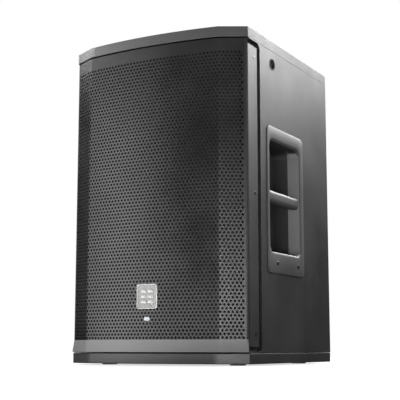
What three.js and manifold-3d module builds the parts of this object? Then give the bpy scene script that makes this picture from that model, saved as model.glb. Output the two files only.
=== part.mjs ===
// A powered two-way PA loudspeaker: a plywood box with a bowed steel grille, a 12-inch woofer under a horn,
// bass ports, carrying handles in both sides, a pole socket underneath and an amplifier module in the back.
// Millimetres, +Z up, the grille faces -Y. The origin is on the floor, at the middle of the overall box.
import * as THREE from 'three';
import { mergeVertices } from 'three/addons/utils/BufferGeometryUtils.js';
import Module from 'manifold-3d';

const wasm = await Module();
wasm.setup();

// ---- driving dimensions -------------------------------------------------------------------------------------

const GAP = 0.3; // glue line or clearance between neighbouring pieces

const FOOT_HEIGHT = 3;
const WIDTH = 376;
const HEIGHT = 608; // of the wooden box, without the feet
const SIDE_DEPTH = 382; // from the front corners to the back
const BOW = 38; // how far the middle of the front stands forward of its corners
const FACET_WIDTH = 48; // across each angled end of the front, measured along X
const FACET_STEP = 26; // how far each angled end comes forward
const CAP = 19; // top and bottom panels
const WALL = 18; // side panels and baffle
const BACK_WALL = 15;

const HALF = WIDTH / 2;
const BASE_Z = FOOT_HEIGHT;
const TOP_Z = BASE_Z + HEIGHT;
const FRONT_Y = -(SIDE_DEPTH - BOW) / 2; // the front corners
const BACK_Y = FRONT_Y + SIDE_DEPTH;
const INNER_X = HALF - WALL;
const INNER_BOTTOM = BASE_Z + CAP + GAP;
const INNER_TOP = TOP_Z - CAP - GAP;
const BAFFLE_FRONT = FRONT_Y + 16;
const BAFFLE_BACK = BAFFLE_FRONT + WALL;
const BACK_PANEL_OUT = BACK_Y - 18; // the back panel is sunk to protect the controls
const REBATE = { depth: 6, length: 50, corner: 12 }; // step in each side panel for the grille's flange

const GRILLE = { sheet: 1.5, inset: 2.5, bottom: BASE_Z + 25, top: TOP_Z - 25, flangeLength: 40, flangeEnd: 9 };
const GRILLE_SCREW = { shank: 2, length: 14, head: 4.5, headHeight: 1.8, endInset: 52, y: FRONT_Y + 28 };
const FOAM = 8;
const BADGE = { width: 44, height: 46, thick: 2, z: BASE_Z + 120 };
const LIGHT = { width: 12, height: 7, thick: 3, z: BASE_Z + 80 };

const HANDLE = {
  bezel: [FRONT_Y + 76, FRONT_Y + 246, BASE_Z + 165, BASE_Z + 441], // y, y, z, z
  mouth: [FRONT_Y + 88, FRONT_Y + 227, BASE_Z + 205, BASE_Z + 415],
  proud: 1.5,
  wall: 3,
  depth: 62,
  corner: 14,
};
const GRIP = { bottom: BASE_Z + 298, top: BASE_Z + 321, deep: 20, setBack: 1.5 };

const WOOFER = { z: BASE_Z + 235, frame: 156, cutout: 142, cone: 122, neck: 32, magnet: 80 };
const HORN = { z: BASE_Z + 500, width: 316, height: 164, flange: 5, throat: 18, length: 118 };
const DRIVER = { radius: 50, length: 52 };
const PORT = { x: 122, z: BASE_Z + 72, inner: 32, outer: 35, length: 120, lip: 40 };
const BRACE = { z: BASE_Z + 424, thick: 12, front: -58, back: 88, rail: 26 };
const PAD = { thick: 14, front: 45, back: 165 };

const POLE = { y: -25, bore: 18, wall: 3.5, depth: 82, flange: 38 };
const FOOT = { radius: 15, x: 138, front: FRONT_Y + 52, back: BACK_Y - 52 };
const RIGGING = { flange: 12, body: 9, depth: 14, proud: 1 };
const SIDE_RIGGING = { y: FRONT_Y + 106, z: BASE_Z + 563 };
const TOP_RIGGING = { x: 120, y: 50 };

const AMP = { halfWidth: 114, bottom: BASE_Z + 130, top: BASE_Z + 500, plate: 3, chassis: 100, chassisDepth: 92 };
const PANEL_Y = BACK_PANEL_OUT + GAP + AMP.plate; // the amplifier plate's outer face
const SINK = { halfWidth: 88, bottom: AMP.bottom + 22, height: 150, base: 3, fins: 15, fin: 2.4, reach: 12 };
const SOCKET = { width: 26, height: 31, thick: 2.2, barrel: 11.8, pocket: 9.6, pocketDepth: 7, length: 22 };
const SOCKET_Z = AMP.top - 116;
const LEVEL_KNOB = { radius: 8, reach: 11, z: AMP.top - 72 };
const MENU_KNOB = { x: 66, z: AMP.top - 30, radius: 13, reach: 12 };
const SHAFT = 3;
const DISPLAY = { x: -18, z: AMP.top - 30, width: 72, height: 30, thick: 2 };
const INLET = { x: -52, z: AMP.top - 172, width: 48, height: 28, mouth: [27, 19.5], depth: 15, length: 24 };
const SWITCH = { x: 52, z: AMP.top - 172, width: 32, height: 24, frame: 2.4, rocker: [22, 16] };

const ROCKER_TILT = THREE.MathUtils.degToRad(8);

// ---- materials ----------------------------------------------------------------------------------------------

const finish = (color, roughness, metalness = 0) => new THREE.MeshStandardMaterial({ color, roughness, metalness });
const paint = finish(0x1b1c1e, 0.55);
const rawPly = finish(0xa8855a, 0.8);
const grilleSteel = finish(0x232427, 0.45, 0.4);
const foamBlack = finish(0x101011, 0.95);
const badgeMetal = finish(0xb4b4b0, 0.3, 0.9);
const lensWhite = finish(0xe8eef2, 0.2);
const screwBlack = finish(0x141414, 0.4, 0.8);
const handlePlastic = finish(0x1f2022, 0.5);
const rubber = finish(0x0d0d0d, 0.9);
const castBlack = finish(0x202224, 0.6, 0.5);
const ferrite = finish(0x2f3033, 0.7, 0.2);
const pulpCone = finish(0x161616, 0.9);
const surroundCloth = finish(0x0f0f10, 0.85);
const spiderCloth = finish(0xb88a3a, 0.9);
const copper = finish(0xb3713d, 0.35, 0.9);
const hornPlastic = finish(0x151617, 0.5);
const wadding = finish(0x8b8f92, 1);
const ampPaint = finish(0x17181a, 0.5, 0.3);
const sinkAluminium = finish(0x1a1b1d, 0.45, 0.7);
const zinc = finish(0xa7abae, 0.4, 0.8);
const boardGreen = finish(0x1e5a38, 0.5);
const windowGlass = finish(0x0a1420, 0.08);
const knobPlastic = finish(0x121213, 0.45);
const socketPlastic = finish(0x0f0f10, 0.4);
const rockerRed = finish(0x9e1b16, 0.3);

// ---- shape helpers ------------------------------------------------------------------------------------------

function box(width, depth, height) {
  return new THREE.BoxGeometry(width, depth, height);
}

// A closed outline with holes, pulled up along +Z.
function slab(shape, height, curveSegments = 10) {
  return new THREE.ExtrudeGeometry(shape, { depth: height, bevelEnabled: false, curveSegments });
}

function rectangle(x0, x1, y0, y1, radius = 0, path = new THREE.Shape()) {
  if (radius === 0) {
    path.moveTo(x0, y0);
    path.lineTo(x1, y0);
    path.lineTo(x1, y1);
    path.lineTo(x0, y1);
    path.closePath();
    return path;
  }
  path.moveTo(x0 + radius, y0);
  path.lineTo(x1 - radius, y0);
  path.absarc(x1 - radius, y0 + radius, radius, -Math.PI / 2, 0, false);
  path.lineTo(x1, y1 - radius);
  path.absarc(x1 - radius, y1 - radius, radius, 0, Math.PI / 2, false);
  path.lineTo(x0 + radius, y1);
  path.absarc(x0 + radius, y1 - radius, radius, Math.PI / 2, Math.PI, false);
  path.lineTo(x0, y0 + radius);
  path.absarc(x0 + radius, y0 + radius, radius, Math.PI, 1.5 * Math.PI, false);
  return path;
}

const rectangleHole = (x0, x1, y0, y1, radius) => rectangle(x0, x1, y0, y1, radius, new THREE.Path());

function roundHole(x, y, radius) {
  return new THREE.Path().absarc(x, y, radius, 0, 2 * Math.PI, false);
}

// A profile of [radius, height] pairs turned about +Y, which is the lathe's own axis.
function turned(profile, segments = 32) {
  return new THREE.LatheGeometry(profile.map(([r, h]) => new THREE.Vector2(r, h)), segments);
}

function solid(geometry) {
  const bare = new THREE.BufferGeometry();
  bare.setAttribute('position', geometry.getAttribute('position').clone());
  bare.setIndex(geometry.index);
  const merged = mergeVertices(bare, 1e-3);
  const mesh = new wasm.Mesh({
    numProp: 3,
    vertProperties: new Float32Array(merged.attributes.position.array),
    triVerts: new Uint32Array(merged.index.array),
  });
  return new wasm.Manifold(mesh);
}

function geometryOf(manifold) {
  const mesh = manifold.getMesh();
  const geometry = new THREE.BufferGeometry();
  geometry.setAttribute('position', new THREE.BufferAttribute(mesh.vertProperties, 3));
  geometry.setIndex(new THREE.BufferAttribute(mesh.triVerts, 1));
  geometry.computeVertexNormals();
  return geometry;
}

const cut = (base, ...tools) => geometryOf(tools.reduce((left, tool) => left.subtract(solid(tool)), solid(base)));
const join = (base, ...more) => geometryOf(more.reduce((sum, piece) => sum.add(solid(piece)), solid(base)));

function moved(geometry, x, y, z) {
  return geometry.clone().translate(x, y, z);
}

function place(parent, name, geometry, material, x = 0, y = 0, z = 0) {
  const mesh = new THREE.Mesh(geometry, material);
  mesh.name = name;
  mesh.position.set(x, y, z);
  parent.add(mesh);
  return mesh;
}

// Turns a slab drawn in (x, z) to stand upright; it then reaches from its place towards the front, -Y.
function standing(mesh) {
  mesh.rotation.x = Math.PI / 2;
  return mesh;
}

// Turns a slab drawn in (y, z) to lie in a side wall; it then reaches from its place towards +X.
function sideways(mesh) {
  mesh.rotation.set(Math.PI / 2, Math.PI / 2, 0);
  return mesh;
}

// ---- the front's outline ------------------------------------------------------------------------------------

// Runs along the bowed front from its right corner to its left one, moved back by an inset.
function drawFront(path, inset, corner = HALF) {
  const foldX = HALF - FACET_WIDTH;
  const foldY = FRONT_Y - FACET_STEP + inset;
  const sagitta = BOW - FACET_STEP;
  const radius = (foldX * foldX + sagitta * sagitta) / (2 * sagitta);
  const half = Math.asin(foldX / radius);
  const cornerY = FRONT_Y + inset - ((HALF - corner) * FACET_STEP) / FACET_WIDTH;
  path.lineTo(corner, cornerY);
  path.lineTo(foldX, foldY);
  path.absarc(0, foldY - sagitta + radius, radius, -Math.PI / 2 + half, -Math.PI / 2 - half, true);
  path.lineTo(-corner, cornerY);
}

// A band that follows the front, with a leg running back from each end as far as legEnd.
function frontBand(inset, thick, cornerX, legEnd) {
  const band = new THREE.Shape();
  band.moveTo(cornerX, legEnd);
  drawFront(band, inset, cornerX);
  band.lineTo(-cornerX, legEnd);
  band.lineTo(-cornerX + thick, legEnd);
  const inside = new THREE.Path();
  inside.moveTo(cornerX - thick, legEnd);
  drawFront(inside, inset + thick, cornerX - thick);
  inside.getPoints(8).reverse().forEach((p) => band.lineTo(p.x, p.y));
  band.lineTo(cornerX - thick, legEnd);
  band.closePath();
  return band;
}

function capOutline() {
  const shape = new THREE.Shape();
  shape.moveTo(-HALF, BACK_Y);
  shape.lineTo(HALF, BACK_Y);
  drawFront(shape, 0);
  shape.closePath();
  return shape;
}

// ---- wooden box ---------------------------------------------------------------------------------------------

function addCabinet(parent) {
  const top = capOutline();
  top.holes = [-1, 1].map((side) => roundHole(side * TOP_RIGGING.x, TOP_RIGGING.y, RIGGING.body + GAP));
  place(parent, 'top_panel', slab(top, CAP), paint, 0, 0, TOP_Z - CAP);

  const bottom = capOutline();
  bottom.holes = [roundHole(0, POLE.y, POLE.bore + POLE.wall + 2 * GAP)];
  place(parent, 'bottom_panel', slab(bottom, CAP), paint, 0, 0, BASE_Z);

  addSidePanel(parent, 'left_side_panel', -1);
  addSidePanel(parent, 'right_side_panel', 1);

  const back = rectangle(-INNER_X + GAP, INNER_X - GAP, INNER_BOTTOM, INNER_TOP);
  back.holes = [rectangleHole(-AMP.chassis - 2, AMP.chassis + 2, AMP.bottom + 12, AMP.top - 12)];
  standing(place(parent, 'back_panel', slab(back, BACK_WALL), paint, 0, BACK_PANEL_OUT, 0));

  const baffle = rectangle(-INNER_X + GAP, INNER_X - GAP, INNER_BOTTOM, INNER_TOP);
  baffle.holes = [
    roundHole(0, WOOFER.z, WOOFER.cutout + GAP),
    rectangleHole(-HORN.width / 2 + 14, HORN.width / 2 - 14, HORN.z - HORN.height / 2 + 14,
      HORN.z + HORN.height / 2 - 14),
    roundHole(PORT.x, PORT.z, PORT.outer + GAP),
    roundHole(-PORT.x, PORT.z, PORT.outer + GAP),
  ];
  standing(place(parent, 'front_baffle', slab(baffle, WALL, 18), rawPly, 0, BAFFLE_BACK, 0));

  const brace = rectangle(-INNER_X + GAP, INNER_X - GAP, BRACE.front, BRACE.back);
  brace.holes = [rectangleHole(-INNER_X + BRACE.rail, INNER_X - BRACE.rail, BRACE.front + BRACE.rail,
    BRACE.back - BRACE.rail, 15)];
  place(parent, 'window_brace', slab(brace, BRACE.thick, 4), rawPly, 0, 0, BRACE.z);
}

function addSidePanel(parent, name, side) {
  const [mouthY0, mouthY1, mouthZ0, mouthZ1] = HANDLE.mouth;
  const clear = HANDLE.wall + GAP;
  const panel = rectangle(FRONT_Y + 3, BACK_Y, INNER_BOTTOM, INNER_TOP);
  panel.holes = [
    rectangleHole(mouthY0 - clear, mouthY1 + clear, mouthZ0 - clear, mouthZ1 + clear, HANDLE.corner + clear),
    roundHole(SIDE_RIGGING.y, SIDE_RIGGING.z, RIGGING.body + GAP),
    ...grilleScrewHeights().map((z) => roundHole(GRILLE_SCREW.y, z, GRILLE_SCREW.shank + GAP)),
  ];
  // The slab's own +Z is the panel's outward side on the right and its inward side on the left.
  const rebateStart = side > 0 ? WALL - REBATE.depth : 0;
  const step = rectangle(FRONT_Y - 30, FRONT_Y + REBATE.length, INNER_BOTTOM + 2, INNER_TOP - 2, REBATE.corner);
  const rebate = moved(slab(step, REBATE.depth + 1, 4), 0, 0, side > 0 ? rebateStart : rebateStart - 1);
  const geometry = cut(slab(panel, WALL), rebate);
  sideways(place(parent, name, geometry, paint, side > 0 ? INNER_X : -HALF, 0, 0));
}

// ---- grille -------------------------------------------------------------------------------------------------

function grilleScrewHeights() {
  const low = BASE_Z + GRILLE_SCREW.endInset;
  const high = TOP_Z - GRILLE_SCREW.endInset;
  return [low, (low + high) / 2, high];
}

const FLANGE_X = HALF - 3; // the flange's outer face, in the side panel's rebate

function addGrille(parent) {
  const height = GRILLE.top - GRILLE.bottom;
  const { inset, sheet: thick, flangeLength, flangeEnd } = GRILLE;
  const sheet = slab(frontBand(inset, thick, FLANGE_X, FRONT_Y + flangeLength), height, 8);
  const notches = [];
  const holes = [];
  for (const side of [-1, 1]) {
    for (const z of [0, height]) {
      notches.push(moved(box(8, flangeLength, 2 * flangeEnd), side * FLANGE_X, FRONT_Y + flangeLength / 2 + 5, z));
    }
    for (const z of grilleScrewHeights()) {
      const drill = new THREE.CylinderGeometry(GRILLE_SCREW.shank + GAP, GRILLE_SCREW.shank + GAP, 10, 10);
      holes.push(moved(drill.rotateZ(Math.PI / 2), side * FLANGE_X, GRILLE_SCREW.y, z - GRILLE.bottom));
    }
  }
  place(parent, 'front_grille', cut(sheet, ...notches, ...holes), grilleSteel, 0, 0, GRILLE.bottom);

  const foam = frontBand(inset + thick + 1, FOAM, INNER_X + 2, FRONT_Y + 2);
  place(parent, 'grille_foam', slab(foam, height - 20, 8), foamBlack, 0, 0, GRILLE.bottom + 10);

  const faceY = FRONT_Y - BOW + GRILLE.inset - 1;
  const badge = rectangle(-BADGE.width / 2, BADGE.width / 2, -BADGE.height / 2, BADGE.height / 2, 4);
  standing(place(parent, 'badge_plate', slab(badge, BADGE.thick, 4), badgeMetal, 0, faceY, BADGE.z));
  const lens = rectangle(-LIGHT.width / 2, LIGHT.width / 2, -LIGHT.height / 2, LIGHT.height / 2, 3.4);
  standing(place(parent, 'status_light_lens', slab(lens, LIGHT.thick - 1, 5), lensWhite, 0, faceY, LIGHT.z));

  ['low', 'middle', 'high'].forEach((level, i) => {
    addGrilleScrew(parent, `grille_screw_left_${level}`, -1, grilleScrewHeights()[i]);
    addGrilleScrew(parent, `grille_screw_right_${level}`, 1, grilleScrewHeights()[i]);
  });
}

function addGrilleScrew(parent, name, side, z) {
  const { shank, length, head, headHeight } = GRILLE_SCREW;
  const screw = turned([[0, -length], [shank - 1, -length], [shank, -length + 2], [shank, GAP],
    [head, GAP], [head, headHeight * 0.6], [head - 1.2, headHeight + GAP], [0, headHeight + GAP]], 12);
  const mesh = place(parent, name, screw, screwBlack, side * FLANGE_X, GRILLE_SCREW.y, z);
  mesh.rotation.z = -side * Math.PI / 2;
}

// ---- handles ------------------------------------------------------------------------------------------------

function addHandle(parent, word, side) {
  const [bezelY0, bezelY1, bezelZ0, bezelZ1] = HANDLE.bezel;
  const [mouthY0, mouthY1, mouthZ0, mouthZ1] = HANDLE.mouth;
  const { wall, corner, depth, proud } = HANDLE;
  const group = new THREE.Group();
  parent.add(group);

  // Drawn in (y, z) and pulled outward from the cup's floor; the left handle is the right one turned inside out.
  const out = (start, end) => (side > 0 ? [start, end - start] : [-end, end - start]);
  const layer = (shape, start, end) => {
    const [from, thickness] = out(start, end);
    return moved(slab(shape, thickness, 4), 0, 0, from);
  };
  const floor = HALF - depth;
  const bezel = rectangle(bezelY0, bezelY1, bezelZ0, bezelZ1, 12);
  const cupOutline = rectangle(mouthY0 - wall, mouthY1 + wall, mouthZ0 - wall, mouthZ1 + wall, corner + wall);
  const mouth = rectangle(mouthY0, mouthY1, mouthZ0, mouthZ1, corner);
  const cup = cut(join(layer(cupOutline, floor, HALF + GAP), layer(bezel, HALF + GAP, HALF + proud + GAP)),
    layer(mouth, floor + wall, HALF + 20));
  sideways(place(group, `${word}_handle_cup`, cup, handlePlastic));

  const face = HALF - GRIP.setBack;
  const bar = rectangle(face - GRIP.deep, face, GRIP.bottom, GRIP.top, 7);
  const length = mouthY1 - mouthY0 - 2 * GAP;
  standing(place(group, `${word}_handle_grip`, slab(bar, length, 5), handlePlastic, side > 0 ? 0 : -2 * face + GRIP.deep,
    mouthY1 - GAP, 0));
}

// ---- drive units --------------------------------------------------------------------------------------------

// The woofer's own frame: its axis is the lathe's, pointing out of the front, with 0 at the baffle's front face.
function addWoofer(parent) {
  const unit = new THREE.Group();
  unit.position.set(0, BAFFLE_FRONT, WOOFER.z);
  unit.rotation.z = Math.PI;
  parent.add(unit);
  const { frame, cutout, cone, neck, magnet } = WOOFER;

  const basket = turned([[cutout - 12, 7], [cutout - 12, 1.5], [cutout - 14, -12], [100, -60], [78, -88], [42, -88],
    [42, -94], [82, -94], [104, -64], [cutout - 8, -14], [cutout - 2, GAP], [frame, GAP], [frame, 7],
    [cutout - 12, 7]], 32);
  const windows = [0, 1, 2, 3].map((k) => {
    const window = moved(box(34, 40, 220), 95, -52, 0);
    return window.rotateY(Math.PI / 4 + (k * Math.PI) / 2);
  });
  place(unit, 'woofer_basket', cut(basket, ...windows.map((w) => shrinkWindow(w))), castBlack);

  place(unit, 'woofer_magnet', turned([[0, -136], [magnet - 4, -136], [magnet, -132], [magnet, -106], [58, -106],
    [58, -94 - GAP], [33.5, -94 - GAP], [33.5, -130], [29.5, -130], [29.5, -92], [0, -92]], 28), ferrite);
  place(unit, 'woofer_voice_coil', turned([[31, -114], [32.4, -114], [32.4, -58], [31, -58], [31, -114]], 32), copper);
  place(unit, 'woofer_cone', turned([[neck + 1.2, -60], [neck + 3, -62], [cone, -4], [cone, -2], [cone - 3, -2],
    [neck + 1.2, -57], [neck + 1.2, -60]], 32), pulpCone);
  place(unit, 'woofer_dust_cap', turned([[0, -33], [19, -36.6], [34, -44.4], [43, -50.2], [44, -48.6],
    [36, -42.5], [20, -34.5], [0, -31]], 28), pulpCone);
  place(unit, 'woofer_surround', turned([[cone + 0.6, -3], [cone + 1.6, -3], [cone + 2, 0.6], [cone + 3.2, 2.4],
    [cone + 5, 2.8], [cone + 6.2, 1.4], [cone + 6.8, -1], [cone + 7.6, -1], [cone + 7.6, 1], [cone + 6.6, 3.2],
    [cone + 5, 4.2], [cone + 2.8, 3.6], [cone + 1, 2], [cone + 0.6, -1], [cone + 0.6, -3]], 32), surroundCloth);
  place(unit, 'woofer_spider', turned(corrugated(35, 90, -72, 1.4, 4), 24), spiderCloth);
}

// A window in the basket's cone, narrow enough to leave four arms.
function shrinkWindow(geometry) {
  return geometry.scale(0.62, 0.8, 0.62).translate(0, -10, 0);
}

function corrugated(inner, outer, height, swing, waves) {
  const steps = waves * 2;
  const top = [];
  const under = [];
  for (let i = 0; i <= steps; i += 1) {
    const r = inner + ((outer - inner) * i) / steps;
    const lift = i % 2 === 0 ? swing : -swing;
    top.push([r, height + lift + 0.6]);
    under.push([r, height + lift - 0.6]);
  }
  return [...under, ...top.reverse(), under[0]];
}

function addHorn(parent) {
  const unit = new THREE.Group();
  unit.position.set(0, BAFFLE_FRONT, HORN.z);
  unit.rotation.x = Math.PI / 2; // x stays across, the local y is up and the local z points out of the front
  parent.add(unit);
  const { width, height, flange, throat, length } = HORN;

  const halfW = width / 2;
  const halfH = height / 2;
  const outer = hornLoft(halfW - 15, halfH - 15, throat + 4, -length, 2);
  const bore = hornLoft(halfW - 19, halfH - 19, throat, -length - 1, flange + 1);
  const plate = moved(slab(rectangle(-halfW, halfW, -halfH, halfH, 10), flange, 4), 0, 0, GAP);
  place(unit, 'horn_waveguide', geometryOf(solid(outer).add(solid(plate)).subtract(solid(bore))), hornPlastic);

  const driver = place(unit, 'compression_driver', turned([[0, -DRIVER.length], [DRIVER.radius - 10, -DRIVER.length],
    [DRIVER.radius - 8, -DRIVER.length + 10], [DRIVER.radius, -DRIVER.length + 12], [DRIVER.radius, -16],
    [DRIVER.radius - 12, -12], [30, -10], [30, -GAP], [0, -GAP]], 32), ferrite, 0, 0, -length);
  driver.rotation.x = Math.PI / 2;
}

// A tube that widens from a round throat to a rectangular mouth along +Z.
function hornLoft(halfW, halfH, throat, start, end) {
  const around = 28;
  const rings = 7;
  const points = [];
  for (let i = 0; i <= rings; i += 1) {
    const t = i / rings;
    const z = start + (end - start) * t;
    const open = t * t * (0.35 + 0.65 * t);
    for (let k = 0; k < around; k += 1) {
      const a = (2 * Math.PI * k) / around;
      const c = Math.cos(a);
      const s = Math.sin(a);
      const square = Math.min(halfW / Math.max(Math.abs(c), 1e-6), halfH / Math.max(Math.abs(s), 1e-6));
      const mouthR = Math.min(square, Math.hypot(halfW, halfH) * 0.94);
      const r = throat + (mouthR - throat) * open;
      points.push(r * c, r * s, z);
    }
  }
  points.push(0, 0, start, 0, 0, end);
  const faces = [];
  for (let i = 0; i < rings; i += 1) {
    for (let k = 0; k < around; k += 1) {
      const a = i * around + k;
      const b = i * around + ((k + 1) % around);
      faces.push(a, b, b + around, a, b + around, a + around);
    }
  }
  const first = (rings + 1) * around;
  for (let k = 0; k < around; k += 1) {
    const next = (k + 1) % around;
    faces.push(first, next, k, first + 1, rings * around + k, rings * around + next);
  }
  const geometry = new THREE.BufferGeometry();
  geometry.setAttribute('position', new THREE.Float32BufferAttribute(points, 3));
  geometry.setIndex(faces);
  return geometry;
}

function addPort(parent, name, x) {
  const { inner, outer, lip, length, z } = PORT;
  const tube = place(parent, name, turned([[inner, -length], [outer, -length], [outer, GAP], [lip, GAP], [lip, 2.5],
    [inner + 3, 3.5], [inner, -3], [inner, -length]], 28), hornPlastic, x, BAFFLE_FRONT, z);
  tube.rotation.z = Math.PI;
}

// ---- amplifier module ---------------------------------------------------------------------------------------

function addAmplifier(parent) {
  const { halfWidth, bottom, top, plate, chassis, chassisDepth } = AMP;
  const panel = rectangle(-halfWidth, halfWidth, bottom, top, 6);
  const clear = 0.4;
  panel.holes = [
    ...[-60, 0, 60].map((x) => roundHole(x, SOCKET_Z, SOCKET.barrel + clear)),
    roundHole(-60, LEVEL_KNOB.z, SHAFT + clear),
    roundHole(60, LEVEL_KNOB.z, SHAFT + clear),
    roundHole(MENU_KNOB.x, MENU_KNOB.z, SHAFT + clear),
    rectangleHole(INLET.x - INLET.width / 2 + 6, INLET.x + INLET.width / 2 - 6, INLET.z - INLET.height / 2 + 2,
      INLET.z + INLET.height / 2 - 2),
    rectangleHole(SWITCH.x - SWITCH.width / 2 + 2, SWITCH.x + SWITCH.width / 2 - 2, SWITCH.z - SWITCH.height / 2 + 2,
      SWITCH.z + SWITCH.height / 2 - 2),
  ];
  standing(place(parent, 'amp_panel', slab(panel, plate), ampPaint, 0, PANEL_Y, 0));
  addHeatSink(parent);

  const chassisTop = BACK_PANEL_OUT - 1;
  const cover = cut(box(2 * chassis, chassisDepth, top - bottom - 26),
    moved(box(2 * chassis - 2.4, chassisDepth, top - bottom - 28.4), 0, 1.2, 0));
  place(parent, 'amp_back_cover', cover, zinc, 0, chassisTop - chassisDepth / 2, (top + bottom) / 2);
  place(parent, 'amplifier_board', box(150, 1.6, 210), boardGreen, 0, chassisTop - 55, bottom + 150);
  place(parent, 'power_transformer', turned([[12, -18], [38, -18], [42, -13], [42, 13], [38, 18], [12, 18],
    [12, -18]], 24), copper, 40, chassisTop - 30, bottom + 70);

  const display = rectangle(-DISPLAY.width / 2, DISPLAY.width / 2, -DISPLAY.height / 2, DISPLAY.height / 2, 3);
  standing(place(parent, 'display_window', slab(display, DISPLAY.thick, 3), windowGlass, DISPLAY.x,
    PANEL_Y + GAP + DISPLAY.thick, DISPLAY.z));

  addKnob(parent, 'input_1_level_knob', -60, LEVEL_KNOB.z, LEVEL_KNOB, true);
  addKnob(parent, 'input_2_level_knob', 60, LEVEL_KNOB.z, LEVEL_KNOB, true);
  addKnob(parent, 'menu_knob', MENU_KNOB.x, MENU_KNOB.z, MENU_KNOB, false);
  place(parent, 'menu_knob_shaft', turned([[0, -14], [SHAFT, -14], [SHAFT, 5], [0, 5]], 16), zinc, MENU_KNOB.x,
    PANEL_Y, MENU_KNOB.z);

  addSocket(parent, 'input_1_socket', -60, true);
  addSocket(parent, 'input_2_socket', 60, true);
  addSocket(parent, 'link_output_socket', 0, false);
  addInlet(parent);
  addPowerSwitch(parent);
}

function addHeatSink(parent) {
  const { halfWidth, bottom, height, base, fins, fin, reach } = SINK;
  const pitch = (2 * halfWidth - fin) / (fins - 1);
  const comb = new THREE.Shape();
  comb.moveTo(-halfWidth, 0);
  comb.lineTo(halfWidth, 0);
  for (let i = fins - 1; i >= 0; i -= 1) {
    const x = -halfWidth + i * pitch;
    comb.lineTo(x + fin, reach);
    comb.lineTo(x, reach);
    if (i > 0) {
      comb.lineTo(x, base);
      comb.lineTo(x - pitch + fin, base);
    }
  }
  comb.closePath();
  place(parent, 'heat_sink', slab(comb, height), sinkAluminium, 0, PANEL_Y + GAP, bottom);
}

// A knob whose lathe axis points out of the back; a level knob carries its own spindle.
function addKnob(parent, name, x, z, size, withSpindle) {
  const { radius, reach } = size;
  const start = 1;
  const spindle = withSpindle ? [[0, -12], [SHAFT, -12], [SHAFT, start]] : [[0, 5.5], [SHAFT + GAP, 5.5], [SHAFT + GAP, start]];
  const knob = turned([...spindle, [radius, start], [radius, start + 2], [radius - 1, start + 2.4],
    [radius - 1.6, reach - 1], [radius - 2.6, reach], [0, reach]], 24);
  const pointer = moved(box(1.2, 1.2, radius - 4), 0, reach, (radius - 4) / 2 + 1);
  place(parent, name, join(knob, pointer), knobPlastic, x, PANEL_Y, z);
}

function addSocket(parent, name, x, latched) {
  const { width, height, thick, barrel, pocket, pocketDepth, length } = SOCKET;
  const flange = slab(rectangle(-width / 2, width / 2, -height / 2, height / 2, 3), thick, 3);
  const body = turned([[0, -length], [barrel - 2, -length], [barrel - 2, -AMP.plate - 1], [barrel, -AMP.plate - 1],
    [barrel, 0.5], [0, 0.5]], 24).rotateX(Math.PI / 2);
  const deep = latched ? pocketDepth : pocketDepth + 6;
  const mouth = turned([[0, thick - deep], [pocket, thick - deep], [pocket, thick + 2], [0, thick + 2]], 24)
    .rotateX(Math.PI / 2);
  const tools = [mouth];
  if (latched) tools.push(moved(box(8.6, 4.6, 4), 0, height / 2 - 2.9, thick));
  const geometry = geometryOf(tools.reduce((left, tool) => left.subtract(solid(tool)), solid(flange).add(solid(body))));
  const mesh = place(parent, name, geometry, socketPlastic, x, PANEL_Y + GAP, SOCKET_Z);
  mesh.rotation.set(-Math.PI / 2, 0, Math.PI);
  if (latched) {
    place(parent, name.replace('socket', 'latch_tab'), box(8, 2.4, 4), zinc, x, PANEL_Y + GAP + thick + 0.8,
      SOCKET_Z + height / 2 - 2.9);
  }
}

function addInlet(parent) {
  const { x, z, width, height, mouth, depth, length } = INLET;
  const flange = slab(rectangle(-width / 2, width / 2, -height / 2, height / 2, 3), 2.5, 3);
  const body = moved(box(width - 14, height - 6, length), 0, 0, 0.5 - length / 2);
  const pocket = moved(box(mouth[0], mouth[1], depth + 2), 0, 0, 2.5 - depth + (depth + 2) / 2);
  const geometry = geometryOf(solid(flange).add(solid(body)).subtract(solid(pocket)));
  const mesh = place(parent, 'mains_inlet', geometry, socketPlastic, x, PANEL_Y + GAP, z);
  mesh.rotation.set(-Math.PI / 2, 0, Math.PI);
}

function addPowerSwitch(parent) {
  const { x, z, width, height, frame, rocker } = SWITCH;
  const flange = rectangle(-width / 2, width / 2, -height / 2, height / 2, 2);
  flange.holes = [rectangleHole(-rocker[0] / 2 - 0.6, rocker[0] / 2 + 0.6, -rocker[1] / 2 - 0.6, rocker[1] / 2 + 0.6)];
  standing(place(parent, 'power_switch_frame', slab(flange, frame, 2), socketPlastic, x, PANEL_Y + GAP + frame, z));

  // The rocker turns about an upright pin behind its face and rests with one half pressed in.
  const [wide, tall] = rocker;
  const profile = new THREE.Shape();
  profile.moveTo(-wide / 2, 3);
  profile.lineTo(-wide / 2 + 1.5, -5);
  profile.lineTo(wide / 2 - 1.5, -5);
  profile.lineTo(wide / 2, 3);
  profile.lineTo(0, 4.4);
  profile.closePath();
  const mesh = place(parent, 'power_rocker', slab(profile, tall), rockerRed, x, PANEL_Y, z - tall / 2);
  mesh.rotation.z = ROCKER_TILT;
}

// ---- fittings -----------------------------------------------------------------------------------------------

function addPoleSocket(parent) {
  const { y, bore, wall, depth, flange } = POLE;
  const cup = place(parent, 'pole_socket', turned([[bore, -1.8], [flange - 1, -1.8], [flange, -1.2], [flange, -GAP],
    [bore + wall, -GAP], [bore + wall, depth + wall], [0, depth + wall], [0, depth], [bore, depth], [bore, -1.8]], 32),
  hornPlastic, 0, y, BASE_Z);
  cup.rotation.x = Math.PI / 2;
}

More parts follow.
